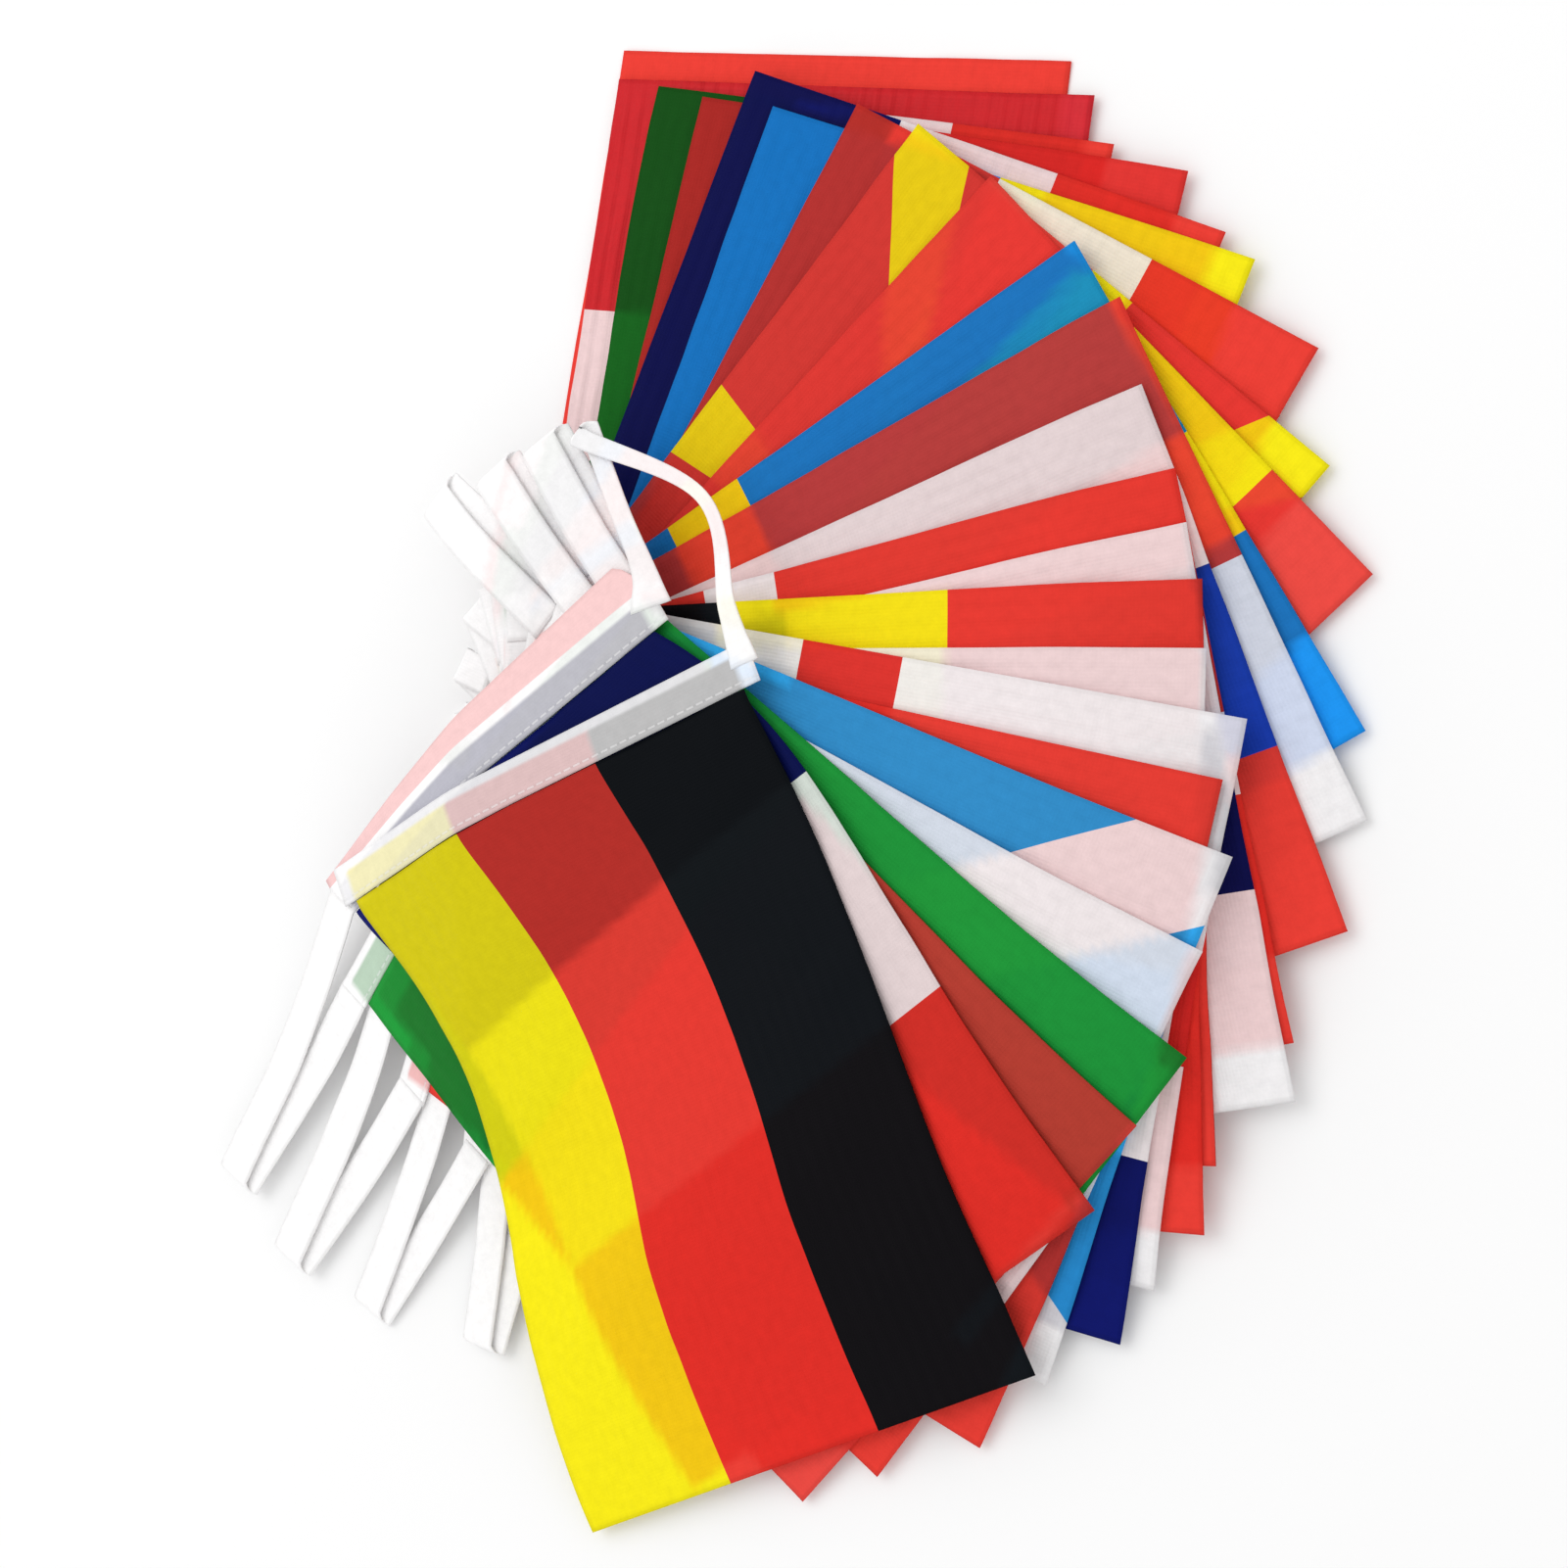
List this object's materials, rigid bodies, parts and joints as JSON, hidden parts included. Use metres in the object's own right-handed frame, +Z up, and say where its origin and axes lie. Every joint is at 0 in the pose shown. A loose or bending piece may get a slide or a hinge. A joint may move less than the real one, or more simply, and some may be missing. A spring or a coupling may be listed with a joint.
{
  "type": "fanned stack of flag bunting",
  "caption": "String of oblong country flags on a white heading tape, folded zig-zag into a low fanned stack that lies flat, with loops of tape at its sides.",
  "frame": {"origin": "middle of the stack's outline in the plan, on the surface it lies on", "axes": "+Z up from the surface; +Y towards the top edge of the picture; +X towards the picture's right side, where the flags fan out"},
  "size_m": [0.3382, 0.402, 0.0359],
  "materials": {
    "flag_01": "thin woven polyester, matt with a faint sheen",
    "flag_02": "thin woven polyester, matt with a faint sheen",
    "flag_03": "thin woven polyester, matt with a faint sheen",
    "flag_04": "thin woven polyester, matt with a faint sheen",
    "flag_05": "thin woven polyester, matt with a faint sheen",
    "flag_06": "thin woven polyester, matt with a faint sheen",
    "flag_07": "thin woven polyester, matt with a faint sheen",
    "flag_08": "thin woven polyester, matt with a faint sheen",
    "flag_09": "thin woven polyester, matt with a faint sheen",
    "flag_10": "thin woven polyester, matt with a faint sheen",
    "flag_11": "thin woven polyester, matt with a faint sheen",
    "flag_12": "thin woven polyester, matt with a faint sheen",
    "flag_13": "thin woven polyester, matt with a faint sheen",
    "flag_14": "thin woven polyester, matt with a faint sheen",
    "flag_15": "thin woven polyester, matt with a faint sheen",
    "flag_16": "thin woven polyester, matt with a faint sheen",
    "flag_17": "thin woven polyester, matt with a faint sheen",
    "flag_18": "thin woven polyester, matt with a faint sheen",
    "flag_19": "thin woven polyester, matt with a faint sheen",
    "flag_20": "thin woven polyester, matt with a faint sheen",
    "flag_21": "thin woven polyester, matt with a faint sheen",
    "flag_22": "thin woven polyester, matt with a faint sheen",
    "flag_23": "thin woven polyester, matt with a faint sheen",
    "flag_24": "thin woven polyester, matt with a faint sheen",
    "tape": "thin white woven tape, slightly see-through"
  },
  "bodies": {
    "root": {"flag_01": "flag_01", "flag_02": "flag_02", "flag_03": "flag_03", "flag_04": "flag_04", "flag_05": "flag_05", "flag_06": "flag_06", "flag_07": "flag_07", "flag_08": "flag_08", "flag_09": "flag_09", "flag_10": "flag_10", "flag_11": "flag_11", "flag_12": "flag_12", "flag_13": "flag_13", "flag_14": "flag_14", "flag_15": "flag_15", "flag_16": "flag_16", "flag_17": "flag_17", "flag_18": "flag_18", "flag_19": "flag_19", "flag_20": "flag_20", "flag_21": "flag_21", "flag_22": "flag_22", "flag_23": "flag_23", "flag_24": "flag_24", "tape": "tape"}
  },
  "joints": []
}
